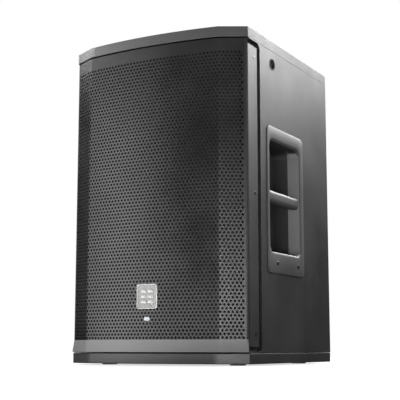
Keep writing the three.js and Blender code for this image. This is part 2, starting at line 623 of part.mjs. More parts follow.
function addFeet(parent) {
  const places = { front_left: [-1, FOOT.front], front_right: [1, FOOT.front], back_left: [-1, FOOT.back],
    back_right: [1, FOOT.back] };
  for (const [word, [side, y]] of Object.entries(places)) {
    const foot = place(parent, `foot_${word}`, turned([[0, 0], [FOOT.radius - 2, 0], [FOOT.radius - 1, 1],
      [FOOT.radius, FOOT_HEIGHT - GAP], [0, FOOT_HEIGHT - GAP]], 20), rubber, side * FOOT.x, y, 0);
    foot.rotation.x = Math.PI / 2;
  }
}

// A threaded insert with a hexagon-socket plug, its lathe axis pointing out of the wood.
function riggingInsert() {
  const { flange, body, depth, proud } = RIGGING;
  const insert = turned([[0, -depth], [body, -depth], [body, GAP], [flange, GAP], [flange, proud], [0, proud]], 18);
  const hexagon = moved(new THREE.CylinderGeometry(4, 4, 6, 6), 0, proud, 0);
  return cut(insert, hexagon);
}

function addRigging(parent) {
  for (const [word, side] of [['left', -1], ['right', 1]]) {
    const flank = place(parent, `side_rigging_point_${word}`, riggingInsert(), screwBlack, side * HALF, SIDE_RIGGING.y,
      SIDE_RIGGING.z);
    flank.rotation.z = -side * Math.PI / 2;
    const roof = place(parent, `top_rigging_point_${word}`, riggingInsert(), screwBlack, side * TOP_RIGGING.x,
      TOP_RIGGING.y, TOP_Z);
    roof.rotation.x = Math.PI / 2;
  }
}

function addDamping(parent) {
  const pad = box(2 * INNER_X - 40, PAD.back - PAD.front, PAD.thick);
  place(parent, 'damping_pad', pad, wadding, 0, (PAD.back + PAD.front) / 2, INNER_TOP - GAP - PAD.thick / 2);
}

// ---- assembly -----------------------------------------------------------------------------------------------

const speaker = new THREE.Group();
addCabinet(speaker);
addGrille(speaker);
addHandle(speaker, 'left', -1);
addHandle(speaker, 'right', 1);
addWoofer(speaker);
addHorn(speaker);
addPort(speaker, 'left_port_tube', -PORT.x);
addPort(speaker, 'right_port_tube', PORT.x);
addAmplifier(speaker);
addPoleSocket(speaker);
addFeet(speaker);
addRigging(speaker);
addDamping(speaker);

export default speaker;
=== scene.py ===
import math

import bmesh
import bpy
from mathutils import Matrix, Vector


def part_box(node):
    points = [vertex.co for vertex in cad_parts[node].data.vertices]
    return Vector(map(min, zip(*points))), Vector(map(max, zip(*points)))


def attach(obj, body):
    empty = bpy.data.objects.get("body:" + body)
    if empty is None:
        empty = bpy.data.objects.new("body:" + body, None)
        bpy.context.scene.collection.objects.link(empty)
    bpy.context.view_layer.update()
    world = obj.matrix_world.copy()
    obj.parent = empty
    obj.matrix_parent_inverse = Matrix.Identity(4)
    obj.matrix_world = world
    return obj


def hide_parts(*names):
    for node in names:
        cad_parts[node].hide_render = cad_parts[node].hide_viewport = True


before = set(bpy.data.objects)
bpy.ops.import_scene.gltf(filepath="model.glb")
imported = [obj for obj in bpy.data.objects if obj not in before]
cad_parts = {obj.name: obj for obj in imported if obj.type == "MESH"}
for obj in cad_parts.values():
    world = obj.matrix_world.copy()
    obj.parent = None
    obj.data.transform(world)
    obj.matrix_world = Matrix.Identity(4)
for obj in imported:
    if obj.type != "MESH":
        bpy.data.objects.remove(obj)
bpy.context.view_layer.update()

MM = 0.001
BODY = "cabinet"
WHITE = (1, 1, 1, 1)

# Sizes that the folded front shares with the wooden caps, in metres.
HALF_WIDTH = 0.188
CORNER_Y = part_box("right_side_panel")[0].y - 3 * MM
FACET_WIDTH = 48 * MM
FACET_STEP = 26 * MM
BOW = 38 * MM

# For each axis, two directions across it and the axis itself, right-handed.
X, Y, Z = Vector((1, 0, 0)), Vector((0, 1, 0)), Vector((0, 0, 1))
AXES = {
    "+X": (Y, Z, X), "-X": (Z, Y, -X),
    "+Y": (Z, X, Y), "-Y": (X, Z, -Y),
    "+Z": (X, Y, Z), "-Z": (Y, X, -Z),
}


# ---- shader groups -----------------------------------------------------------

class Nodes:
    """A short way to lay nodes out in one tree."""

    def __init__(self, tree):
        self.tree = tree

    def add(self, kind, **settings):
        node = self.tree.nodes.new(kind)
        for key, value in settings.items():
            setattr(node, key, value)
        return node

    def link(self, source, target):
        self.tree.links.new(source, target)

    def feed(self, socket, value):
        if isinstance(value, bpy.types.NodeSocket):
            self.link(value, socket)
        else:
            socket.default_value = value

    def fill(self, node, **values):
        """Sets or links a node's inputs by label, with an underscore for each space."""
        for label, value in values.items():
            self.feed(node.inputs[label.replace("_", " ")], value)

    def math(self, operation, a, b=0.0, clamp=False):
        node = self.add("ShaderNodeMath", operation=operation, use_clamp=clamp)
        self.feed(node.inputs[0], a)
        self.feed(node.inputs[1], b)
        return node.outputs[0]

    def ramp(self, value, low, high, out_low=0.0, out_high=1.0):
        node = self.add("ShaderNodeMapRange", clamp=True)
        for socket, given in zip(node.inputs, (value, low, high, out_low, out_high)):
            self.feed(socket, given)
        return node.outputs[0]

    def mix(self, factor, a, b):
        node = self.add("ShaderNodeMix", data_type="RGBA")
        self.feed(node.inputs[0], factor)
        self.feed(node.inputs[6], a)
        self.feed(node.inputs[7], b)
        return node.outputs[2]

    def mix_shaders(self, factor, a, b):
        node = self.add("ShaderNodeMixShader")
        for socket, given in zip(node.inputs, (factor, a, b)):
            self.link(given, socket)
        return node.outputs[0]

    def place(self, stretch=None):
        coordinates = self.add("ShaderNodeTexCoord").outputs["Object"]
        if not stretch:
            return coordinates
        node = self.add("ShaderNodeMapping")
        self.fill(node, Vector=coordinates, Scale=stretch)
        return node.outputs[0]

    def noise(self, scale, detail=3.0, rough=0.5, stretch=None):
        node = self.add("ShaderNodeTexNoise")
        self.fill(node, Vector=self.place(stretch), Scale=scale, Detail=detail, Roughness=rough)
        return node.outputs["Fac"]


def shader_group(name, inputs, outputs):
    tree = bpy.data.node_groups.new(name, "ShaderNodeTree")
    for label, usual in inputs.items():
        socket = tree.interface.new_socket(name=label, in_out="INPUT", socket_type="NodeSocketFloat")
        socket.default_value = usual
    for label in outputs:
        tree.interface.new_socket(name=label, in_out="OUTPUT", socket_type="NodeSocketFloat")
    nodes = Nodes(tree)
    return nodes, nodes.add("NodeGroupInput").outputs, nodes.add("NodeGroupOutput").inputs


def make_grain():
    """Pimpled coating or moulded grain, with the slow patches that handling leaves in its sheen."""
    nodes, given, out = shader_group("moulded_grain", {"Scale": 900, "Patch scale": 9},
                                     ("Height", "Patches"))
    cells = nodes.add("ShaderNodeTexVoronoi", feature="SMOOTH_F1")
    nodes.fill(cells, Vector=nodes.place(), Scale=given["Scale"])
    fine = nodes.noise(given["Scale"], 4.0)
    bumps = nodes.math("SUBTRACT", nodes.math("MULTIPLY", fine, 0.8), cells.outputs["Distance"])
    nodes.link(bumps, out["Height"])
    nodes.link(nodes.ramp(nodes.noise(given["Patch scale"], 5.0), 0.3, 0.7), out["Patches"])
    return nodes.tree


def make_edge_wear():
    """Marks convex edges, broken up so that the wear comes and goes along them."""
    nodes, given, out = shader_group("edge_wear", {"Radius": 0.002, "Breakup": 60}, ("Mask",))
    round_off = nodes.add("ShaderNodeBevel", samples=4)
    nodes.fill(round_off, Radius=given["Radius"])
    true = nodes.add("ShaderNodeNewGeometry")
    dot = nodes.add("ShaderNodeVectorMath", operation="DOT_PRODUCT")
    nodes.link(round_off.outputs[0], dot.inputs[0])
    nodes.link(true.outputs["Normal"], dot.inputs[1])
    turned_away = nodes.ramp(dot.outputs["Value"], 0.99, 0.88)
    broken = nodes.ramp(nodes.noise(given["Breakup"], 6.0, 0.65), 0.5, 0.66)
    nodes.link(nodes.math("MULTIPLY", turned_away, broken), out["Mask"])
    return nodes.tree


def make_dust():
    """A thin film of dust that settles on faces that look up."""
    nodes, given, out = shader_group("settled_dust", {"Scale": 30, "Amount": 0.2}, ("Mask",))
    true = nodes.add("ShaderNodeNewGeometry")
    parts = nodes.add("ShaderNodeSeparateXYZ")
    nodes.link(true.outputs["Normal"], parts.inputs[0])
    upward = nodes.ramp(parts.outputs["Z"], 0.2, 1.0)
    specks = nodes.ramp(nodes.noise(given["Scale"], 8.0, 0.7), 0.4, 0.75)
    nodes.link(nodes.math("MULTIPLY", nodes.math("MULTIPLY", upward, specks), given["Amount"]), out["Mask"])
    return nodes.tree


def make_weave():
    """Crossed threads, which run along X and along Z."""
    nodes, given, out = shader_group("crossed_threads", {"Threads": 1500}, ("Height",))
    total = None
    for direction in ("X", "Z"):
        wave = nodes.add("ShaderNodeTexWave", wave_type="BANDS", bands_direction=direction)
        nodes.fill(wave, Vector=nodes.place(), Scale=given["Threads"], Distortion=1.2)
        thread = wave.outputs["Fac"]
        total = thread if total is None else nodes.math("MAXIMUM", total, thread)
    nodes.link(total, out["Height"])
    return nodes.tree


GRAIN = make_grain()
EDGE_WEAR = make_edge_wear()
DUST = make_dust()
WEAVE = make_weave()


# ---- finishes ----------------------------------------------------------------

BUMP_DISTANCE = 0.0004
DUST_TINT = (0.42, 0.40, 0.37, 1)
DUST_DULLS = 0.3
WORN_COAT = (0.10, 0.095, 0.09)
BARE_METAL = (0.30, 0.30, 0.30)


def use(nodes, tree, **values):
    node = nodes.add("ShaderNodeGroup", node_tree=tree)
    nodes.fill(node, **values)
    return node.outputs


def finish(name, dark, light, rough, metal=0.0, grain=900, depth=0.05, patch=9, sheen_swing=0.06,
           wear=None, wear_radius=0.0015, dust=0.0, threads=0, brushed=None, coat=0.0, specular=0.5,
           fuzz=0.0):
    """One procedural finish: two tones in slow patches, grain in its bump, worn edges and dust."""
    material = bpy.data.materials.new(name)
    material.use_nodes = True
    nodes = Nodes(material.node_tree)
    shader = material.node_tree.nodes["Principled BSDF"]
    nodes.fill(shader, Metallic=metal, Coat_Weight=coat, Specular_IOR_Level=specular, Sheen_Weight=fuzz)

    surface = use(nodes, GRAIN, Scale=grain, Patch_scale=patch)
    colour = nodes.mix(surface["Patches"], (*dark, 1), (*light, 1))
    height = surface["Height"]
    if threads:
        height = use(nodes, WEAVE, Threads=threads)["Height"]
    if brushed:
        height = nodes.noise(grain, 4.0, 0.6, brushed)
        colour = nodes.mix(nodes.ramp(height, 0.35, 0.65), colour, (*light, 1))
    roughness = nodes.ramp(surface["Patches"], 0.0, 1.0, rough - sheen_swing, rough + sheen_swing)
    if wear:
        mask = use(nodes, EDGE_WEAR, Radius=wear_radius)["Mask"]
        colour = nodes.mix(mask, colour, (*wear, 1))
    if dust:
        film = use(nodes, DUST, Amount=dust)["Mask"]
        colour = nodes.mix(film, colour, DUST_TINT)
        roughness = nodes.math("ADD", roughness, nodes.math("MULTIPLY", film, DUST_DULLS), clamp=True)
    bump = nodes.add("ShaderNodeBump")
    nodes.fill(bump, Strength=depth, Distance=BUMP_DISTANCE, Height=height)
    nodes.fill(shader, Base_Color=colour, Roughness=roughness, Normal=bump.outputs[0])
    return material


def glowing(name, tint, glow, strength):
    """A clear lens over a small lamp, brightest in patches where the light pipe ends."""
    material = finish(name, tint, tint, 0.18, grain=300, depth=0.02)
    shader = material.node_tree.nodes["Principled BSDF"]
    nodes = Nodes(material.node_tree)
    spread = nodes.ramp(nodes.noise(220, 2.0), 0.3, 0.7)
    nodes.fill(shader, Emission_Color=nodes.mix(spread, (*glow, 1), WHITE), Emission_Strength=strength)
    return material


CABINET_COAT = finish("textured_black_coat", (0.0045, 0.0045, 0.0048), (0.007, 0.007, 0.0074), 0.52,
                      grain=750, depth=0.3, wear=WORN_COAT, dust=0.015)
TOP_COAT = finish("scuffed_top_coat", (0.0085, 0.0085, 0.0088), (0.0115, 0.0115, 0.0118), 0.72,
                  grain=750, depth=0.3, wear=WORN_COAT, dust=0.02, specular=0.25)
# Painted light: the same black coat, coloured lighter on the caps' front faces to stand in for the light
# they catch.
PAINTED_LIGHT_CAP_COAT = finish("painted_light_cap_coat", (0.026, 0.026, 0.027), (0.031, 0.031, 0.032), 0.42,
                  grain=750, depth=0.26, wear=WORN_COAT, dust=0.03, sheen_swing=0.02, specular=0.8)
GRILLE_COAT = finish("grille_powder_coat", (0.0042, 0.0042, 0.0044), (0.0075, 0.0075, 0.0078), 0.34,
                     grain=1600, depth=0.1, dust=0.03, specular=0.55)
# Painted light: the plain bottom band of the same black sheet, coloured light grey to stand in for the
# light and reflection it catches from below.
PAINTED_LIGHT_BAND_COAT = finish("painted_light_band_coat", (0.14, 0.14, 0.141), (0.17, 0.17, 0.171), 0.42,
                   grain=1600, depth=0.08, dust=0.06, specular=0.6)
# Painted shade: the same handle plastic, coloured darker to stand in for the shadow deep in the cup and
# under the top of its mouth.
PAINTED_SHADE_CUP_PLASTIC = finish("painted_shade_cup_plastic", (0.012, 0.012, 0.0125), (0.018, 0.018, 0.0185), 0.62,
                     grain=1300, depth=0.12, dust=0.04, specular=0.3)
HANDLE_PLASTIC = finish("moulded_handle_plastic", (0.046, 0.046, 0.047), (0.062, 0.062, 0.063), 0.52,
                        grain=1300, depth=0.16, wear=(0.12, 0.12, 0.12), dust=0.12)
# Painted light: the same handle plastic, coloured lighter on the lip's front-facing rear wall to stand in
# for the light it catches; its edge wear is real.
PAINTED_LIGHT_LIP_PLASTIC = finish("painted_light_lip_plastic", (0.11, 0.11, 0.111), (0.145, 0.145, 0.146), 0.42,
                     grain=1300, depth=0.16, wear=(0.15, 0.15, 0.15), dust=0.1)
BLACK_PLASTIC = finish("moulded_black_plastic", (0.016, 0.016, 0.017), (0.026, 0.026, 0.027), 0.38,
                       grain=1500, depth=0.1, wear=(0.08, 0.08, 0.08), dust=0.06)
SOCKET_PLASTIC = finish("glass_filled_plastic", (0.012, 0.012, 0.012), (0.02, 0.02, 0.021), 0.34,
                        grain=2200, depth=0.08, dust=0.05)
RUBBER = finish("matt_rubber", (0.01, 0.01, 0.01), (0.02, 0.02, 0.019), 0.82,
                grain=1200, depth=0.2, dust=0.15)
BLACK_STEEL = finish("black_oxide_steel", (0.022, 0.022, 0.023), (0.04, 0.04, 0.04), 0.32,
                     metal=0.9, grain=2500, depth=0.08, wear=BARE_METAL, wear_radius=0.0006)
BRIGHT_STEEL = finish("nickel_plate", (0.5, 0.5, 0.49), (0.64, 0.64, 0.63), 0.26,
                      metal=1.0, grain=1800)
ZINC = finish("zinc_plate", (0.46, 0.47, 0.49), (0.6, 0.61, 0.62), 0.38,
              metal=1.0, grain=700, patch=40)
BADGE_METAL = finish("brushed_badge_metal", (0.22, 0.22, 0.218), (0.3, 0.3, 0.295), 0.42,
                     metal=1.0, grain=260, depth=0.1, brushed=(1, 1, 30))
BADGE_FIELD = finish("dull_badge_field", (0.17, 0.17, 0.168), (0.23, 0.23, 0.228), 0.45,
                     metal=0.4, grain=2400, depth=0.12)
PANEL_COAT = finish("amplifier_panel_coat", (0.014, 0.014, 0.015), (0.022, 0.022, 0.023), 0.5,
                    grain=1300, depth=0.16, wear=(0.2, 0.2, 0.2), dust=0.06)
SINK_METAL = finish("anodised_sink", (0.016, 0.016, 0.017), (0.026, 0.026, 0.028), 0.42,
                    metal=0.6, grain=420, depth=0.08, wear=BARE_METAL, brushed=(1, 1, 0.04), dust=0.08)
FOAM = finish("open_cell_foam", (0.004, 0.004, 0.004), (0.01, 0.01, 0.01), 0.95, grain=420, depth=1.0)
PLY = finish("birch_ply", (0.42, 0.3, 0.18), (0.58, 0.44, 0.28), 0.62,
             grain=120, depth=0.12, brushed=(1, 1, 18))
CAST_FRAME = finish("cast_frame_paint", (0.016, 0.016, 0.017), (0.03, 0.03, 0.031), 0.5,
                    metal=0.2, grain=600, depth=0.2, wear=BARE_METAL)
MAGNET = finish("ferrite_and_plate", (0.05, 0.05, 0.052), (0.1, 0.1, 0.1), 0.6,
                metal=0.4, grain=500, depth=0.2, patch=30)
PULP = finish("pulp_cone", (0.012, 0.012, 0.012), (0.026, 0.025, 0.024), 0.9,
              grain=260, depth=0.5, fuzz=0.2)
CLOTH = finish("doped_cloth", (0.01, 0.01, 0.01), (0.02, 0.02, 0.02), 0.7, depth=0.4, threads=600)
SPIDER_CLOTH = finish("phenolic_cloth", (0.42, 0.27, 0.08), (0.56, 0.38, 0.14), 0.8,
                      depth=0.5, threads=500)
COPPER = finish("enamelled_copper", (0.55, 0.22, 0.09), (0.72, 0.34, 0.16), 0.3,
                metal=1.0, depth=0.6, threads=900)
BOARD = finish("solder_mask", (0.01, 0.07, 0.03), (0.02, 0.12, 0.055), 0.35,
               grain=300, depth=0.1, patch=60)
WADDING = finish("fibre_wadding", (0.36, 0.37, 0.38), (0.56, 0.57, 0.58), 0.95,
                 grain=140, depth=1.0, fuzz=0.4)
WINDOW = finish("smoked_window", (0.003, 0.006, 0.01), (0.005, 0.009, 0.014), 0.1,
                grain=90, depth=0.01, coat=0.5, sheen_swing=0.03)
ROCKER_RED = finish("moulded_red", (0.3, 0.018, 0.012), (0.4, 0.03, 0.018), 0.28, grain=1500)
PRINT = finish("pad_printed_ink", (0.62, 0.62, 0.6), (0.74, 0.74, 0.72), 0.55, grain=1500)
STATUS_WHITE = glowing("lit_lens", (0.26, 0.27, 0.28), (0.8, 0.88, 1.0), 0.35)
SIGNAL_GREEN = glowing("green_lens", (0.05, 0.25, 0.06), (0.1, 0.9, 0.15), 0.7)
SIGNAL_RED = finish("unlit_red_lens", (0.2, 0.01, 0.01), (0.28, 0.016, 0.014), 0.2,
                    grain=300, depth=0.02)


# ---- making pieces -----------------------------------------------------------

def middle_of(node):
    """The middle of a node's box, as x, y and z."""
    low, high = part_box(node)
    return [(a + b) / 2 for a, b in zip(low, high)]


def put_in_scene(name, data):
    thing = bpy.data.objects.new(name, data)
    bpy.context.scene.collection.objects.link(thing)
    return thing


def make_piece(name, points, faces, material, body=BODY, smooth=38, slot=None, stands_for=()):
    mesh = bpy.data.meshes.new(name)
    mesh.from_pydata([tuple(p) for p in points], [], faces)
    return settle(name, mesh, material, body, smooth, stands_for)


def settle(name, mesh, material, body, smooth, stands_for, even=False):
    mesh.materials.clear()
    mesh.materials.append(material)
    mesh.polygons.foreach_set("use_smooth", [True] * len(mesh.polygons))
    mesh.set_sharp_from_angle(angle=math.radians(smooth))
    mesh.update()
    piece = put_in_scene(name, mesh)
    if even:
        shading = piece.modifiers.new("even_shading", "WEIGHTED_NORMAL")
        shading.keep_sharp = True
        shading.weight = 100
    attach(piece, body)
    if stands_for:
        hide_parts(*stands_for)
    return piece


def softened(node, material, width, body=BODY, segments=3, sharp=36):
    """The node's own shape with its hard edges rounded over."""
    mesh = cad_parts[node].data.copy()
    work = bmesh.new()
    work.from_mesh(mesh)
    bmesh.ops.remove_doubles(work, verts=work.verts, dist=1e-6)
    bmesh.ops.dissolve_limit(work, angle_limit=math.radians(0.4), verts=work.verts, edges=work.edges)
    hard = [e for e in work.edges if e.is_manifold and e.calc_face_angle(0) > math.radians(sharp)]
    bmesh.ops.bevel(work, geom=hard, offset=width, segments=segments, profile=0.5, affect="EDGES",
                    clamp_overlap=True)
    bmesh.ops.triangulate(work, faces=[f for f in work.faces if len(f.verts) > 4])
    work.to_mesh(mesh)
    work.free()
    return settle(node + "_finished", mesh, material, body, 40, [node], even=True)


def turn_faces_outward(piece):
    work = bmesh.new()
    work.from_mesh(piece.data)
    bmesh.ops.recalc_face_normals(work, faces=work.faces)
    work.to_mesh(piece.data)
    work.free()


def paint(piece, others, choose):
    """Adds finishes to a piece's own, which is number 0; choose(face) gives each face its number."""
    for material in others:
        piece.data.materials.append(material)
    for face in piece.data.polygons:
        face.material_index = choose(face)


def rounded_ring(u0, u1, v0, v1, radius, steps=6):
    """Points round a rectangle with rounded corners, anticlockwise."""
    ring = []
    for cu, cv, start in ((u1 - radius, v1 - radius, 0), (u0 + radius, v1 - radius, 90),
                          (u0 + radius, v0 + radius, 180), (u1 - radius, v0 + radius, 270)):
        for i in range(steps + 1):
            a = math.radians(start + 90 * i / steps)
            ring.append((cu + radius * math.cos(a), cv + radius * math.sin(a)))
    return ring


def upright_ring(x, y, z, half_width, half_height, radius, steps=6):
    """A rounded rectangle that stands across Y, round its middle."""
    return [Vector((x + u, y, z + v)) for u, v in
            rounded_ring(-half_width, half_width, -half_height, half_height, radius, steps)]


def loft(name, rings, material, hoop=False, **options):
    """A skin over rings of equal length, closed with a face at each end, or on itself for a hoop."""
    count = len(rings[0])
    points = [p for ring in rings for p in ring]
    faces = []
    for i in range(len(rings) - (0 if hoop else 1)):
        step = ((i + 1) % len(rings) - i) * count
        for k in range(count):
            a, b = i * count + k, i * count + (k + 1) % count
            faces.append((a, b, b + step, a + step))
    if not hoop:
        faces.append(tuple(reversed(range(count))))
        faces.append(tuple(range(len(points) - count, len(points))))
    return make_piece(name, points, faces, material, **options)


def turned(name, profile, at, axis, material, segments=48, outline=None, **options):
    """A turned piece. The profile is (radius, height) pairs in millimetres; outline scales a ring."""
    u, v, w = AXES[axis]
    at = Vector(at)
    rings = []
    for i, (r, h) in enumerate(profile):
        ring = []
        for k in range(segments):
            a = 2 * math.pi * k / segments
            scale = outline(i, a) if outline else 1.0
            spoke = u * math.cos(a) + v * math.sin(a)
            ring.append(at + spoke * max(r, 0.01) * scale * MM + w * h * MM)
        rings.append(ring)
    return loft(name, rings, material, **options)


def six_sided(a):
    """How far a hexagon's side lies from its middle at an angle, as a share of its corner radius."""
    return math.cos(math.pi / 6) / math.cos((a % (math.pi / 3)) - math.pi / 6)


def crossed(a):
    """The same for a cross-shaped recess, with arms about a quarter as wide as they reach."""
    a = a % (math.pi / 2)
    a = min(a, math.pi / 2 - a)
    return min(1.0 / math.cos(a), 0.26 / max(math.sin(a), 1e-6))


def screw(name, at, axis, head, recess, shank, stands_for=()):
    """A domed screw head with a cross-shaped recess. Head, recess and shank are in millimetres."""
    profile = [(head * 0.45, -shank), (head * 0.45, -0.1), (head * 0.92, -0.1), (head, 0.35),
               (head * 0.97, 0.9), (head * 0.8, 1.45), (recess + 0.35, 1.7), (recess, 1.66),
               (recess * 0.92, 0.5)]
    dug = len(profile) - 2
    return turned(name, profile, at, axis, BLACK_STEEL, 32, lambda i, a: crossed(a) if i >= dug else 1.0,
                  slot="black_steel", stands_for=stands_for)


# ---- folded perforated grille ------------------------------------------------

HOLE_PITCH = 7.3 * MM
HOLE_RADIUS = 2.45 * MM
HOLE_SIDES = 8
SHEET = 1.5 * MM
FOLD_RADIUS = 14 * MM
FLANGE_RADIUS = 3 * MM
BOW_STEPS = 24
GRILLE_INSET = 2.5 * MM
GRILLE_REACH = 4 * MM
PLAIN_BOTTOM = 18 * MM + GRILLE_REACH
PLAIN_TOP = 19 * MM + GRILLE_REACH
FLANGE_CUT = 9 * MM
BORDER_LEAN = math.tan(math.radians(9))


class FoldedPath:
    """The sheet's outline seen from above, from the right flange's back edge round to the left one's."""

    def __init__(self, corners, radii):
        self.points, self.lengths = [], [0.0]
        for i, corner in enumerate(corners):
            if radii[i] == 0:
                self.push(corner)
            else:
                self.bend(corners[i - 1], corner, corners[i + 1], radii[i])

    def push(self, point):
        if self.points:
            self.lengths.append(self.lengths[-1] + (point - self.points[-1]).length)
        self.points.append(point)

    def bend(self, before, corner, after, radius):
        back, on = (before - corner).normalized(), (after - corner).normalized()
        turn = math.acos(max(-1, min(1, back.dot(on))))
        reach = radius / math.tan(turn / 2)
        centre = corner + (back + on).normalized() * radius / math.sin(turn / 2)
        start, end = corner + back * reach - centre, corner + on * reach - centre
        sweep = math.pi - turn
        sign = 1 if start.x * end.y - start.y * end.x > 0 else -1
        steps = max(3, int(math.degrees(sweep) / 5))
        for i in range(steps + 1):
            a = sign * sweep * i / steps
            self.push(centre + Vector((start.x * math.cos(a) - start.y * math.sin(a),
                                       start.x * math.sin(a) + start.y * math.cos(a))))

    def at(self, s):
        """The point at a distance along the path, and the outward normal there."""
        s = min(max(s, 0.0), self.lengths[-1])
        lo, hi = 0, len(self.lengths) - 1
        while hi - lo > 1:
            mid = (lo + hi) // 2
            lo, hi = (mid, hi) if self.lengths[mid] <= s else (lo, mid)
        a, b = self.points[lo], self.points[hi]
        t = (s - self.lengths[lo]) / max(self.lengths[hi] - self.lengths[lo], 1e-9)
        along = (b - a).normalized()
        return a.lerp(b, t), Vector((along.y, -along.x))

    def nearest(self, point):
        best = min(range(len(self.points)), key=lambda i: (self.points[i] - point).length)
        return self.lengths[best]


def front_path():
    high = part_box("front_grille")[1]
    side, back = high.x, high.y
    fold_x, fold_y = HALF_WIDTH - FACET_WIDTH, CORNER_Y - FACET_STEP + GRILLE_INSET
    sagitta = BOW - FACET_STEP
    radius = (fold_x ** 2 + sagitta ** 2) / (2 * sagitta)
    middle = Vector((0, fold_y - sagitta + radius))
    half = math.asin(fold_x / radius)
    corner_y = CORNER_Y + GRILLE_INSET - (HALF_WIDTH - side) * FACET_STEP / FACET_WIDTH
    turns = [half * (1 - 2 * i / BOW_STEPS) for i in range(BOW_STEPS + 1)]
    bow = [middle + radius * Vector((math.sin(a), -math.cos(a))) for a in turns]
    # The soft fold runs past the bow's second point, so that is left out, as is its twin.
    bow = [bow[0], *bow[2:-2], bow[-1]]
    corners = [Vector((side, back)), Vector((side, corner_y)), *bow,
               Vector((-side, corner_y)), Vector((-side, back))]
    radii = [0, FLANGE_RADIUS, FOLD_RADIUS, *[0] * (len(bow) - 2), FOLD_RADIUS, FLANGE_RADIUS, 0]
    return FoldedPath(corners, radii), Vector((side, corner_y))


def build_grille():
    low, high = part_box("front_grille")
    low.z -= GRILLE_REACH
    high.z += GRILLE_REACH - 1 * MM
    path, corner = front_path()
    total = path.lengths[-1]
    first = path.nearest(corner) + 5.5 * MM
    last = total - first
    count = round((last - first) / HOLE_PITCH)
    pitch = (last - first) / count
    tall = high.z - PLAIN_TOP - low.z - PLAIN_BOTTOM
    rows = round(tall / (pitch * math.sqrt(3) / 2))
    rise = tall / rows

    flange = [0.0, first * 0.45, *[first - back * MM for back in (11, 9, 7.5, 6, 4.5, 2)]]
    columns = [*flange, *[first + i * pitch / 2 for i in range(2 * count + 1)],
               *[total - s for s in reversed(flange)]]
    levels = [low.z, low.z + FLANGE_CUT, *[low.z + PLAIN_BOTTOM + i * rise for i in range(rows + 1)],
              high.z - FLANGE_CUT, high.z]
    points, index, faces = [], {}, []

    def vertex(side, s, z):
        key = (side, round(s * 1e6), round(z * 1e6))
        if key not in index:
            spot, normal = path.at(s)
            lean = 0.0
            if first - 5 * MM < s < last + 5 * MM:
                lean = max(0.0, low.z + PLAIN_BOTTOM - z) * BORDER_LEAN
            spot = spot - normal * (lean + (SHEET if side else 0))
            index[key] = len(points)
            points.append((spot.x, spot.y, z))
        return index[key]

    def both(corners):
        faces.append([vertex(0, s, z) for s, z in corners])
        faces.append([vertex(1, s, z) for s, z in reversed(corners)])

    def plain(i, j):
        s0, s1, z0, z1 = columns[i], columns[i + 1], levels[j], levels[j + 1]
        both([(s0, z0), (s1, z0), (s1, z1), (s0, z1)])

    # The flange is cut short at both ends; the last three of its columns belong to the front's edge.
    base, cut = len(flange), len(flange) - 3
    last_column, last_level = len(columns) - 2, len(levels) - 2
    solid = set()
    for i in range(last_column + 1):
        for j in range(last_level + 1):
            in_flange = i < cut or i > last_column - cut
            if in_flange and j in (0, last_level):
                continue
            solid.add((i, j))
            if not (base <= i <= last_column - base and 2 <= j < 2 + rows):
                plain(i, j)

    for j in range(rows):
        # Every other row starts half a pitch in, between two plain half cells.
        start = j % 2
        if start:
            plain(base, 2 + j)
            plain(base + 2 * count - 1, 2 + j)
        for k in range(count - start):
            a = base + start + 2 * k
            perforate(both, faces, vertex, *columns[a:a + 3], levels[2 + j], levels[3 + j])

    for i, j in solid:
        s0, s1, z0, z1 = columns[i], columns[i + 1], levels[j], levels[j + 1]
        for neighbour, a, b in (((i - 1, j), (s0, z1), (s0, z0)), ((i + 1, j), (s1, z0), (s1, z1)),
                                ((i, j - 1), (s0, z0), (s1, z0)), ((i, j + 1), (s1, z1), (s0, z1))):
            if neighbour not in solid:
                faces.append([vertex(0, *b), vertex(0, *a), vertex(1, *a), vertex(1, *b)])

    piece = make_piece("perforated_grille", points, faces, GRILLE_COAT, smooth=30, slot="grille_steel",
                       stands_for=["front_grille"])
    turn_faces_outward(piece)

    # The front-facing faces of the plain bottom band take the painted light.
    def coat(face):
        if face.center.z < low.z + PLAIN_BOTTOM - 0.1 * MM and face.normal.y < -0.3:
            return 1
        return 2 if abs(face.center.x) > high.x - 1.7 * MM else 0

    paint(piece, [PAINTED_LIGHT_BAND_COAT, CABINET_COAT], coat)


def perforate(both, faces, vertex, s0, s1, s2, z0, z1):
    """One cell of the sheet with an eight-sided hole, front, back and through."""
    zc = (z0 + z1) / 2
    turns = [math.radians(360 / HOLE_SIDES * k) for k in range(HOLE_SIDES)]
    hole = [(s1 + HOLE_RADIUS * math.cos(a), zc + HOLE_RADIUS * math.sin(a)) for a in turns]
    br, tr, tm, tl, bl, bm = (s2, z0), (s2, z1), (s1, z1), (s0, z1), (s0, z0), (s1, z0)
    for ring in ((br, tr, hole[0]), (tr, hole[1], hole[0]), (br, hole[0], hole[7]),
                 (tr, tm, hole[2], hole[1]), (tm, tl, hole[3], hole[2]), (tl, bl, hole[4]),
                 (tl, hole[4], hole[3]), (bl, hole[5], hole[4]), (bl, bm, hole[6], hole[5]),
                 (bm, br, hole[7], hole[6])):
        both(ring)
    for a, b in zip(hole, hole[1:] + hole[:1]):
        faces.append([vertex(0, *a), vertex(0, *b), vertex(1, *b), vertex(1, *a)])


# ---- front fittings ----------------------------------------------------------

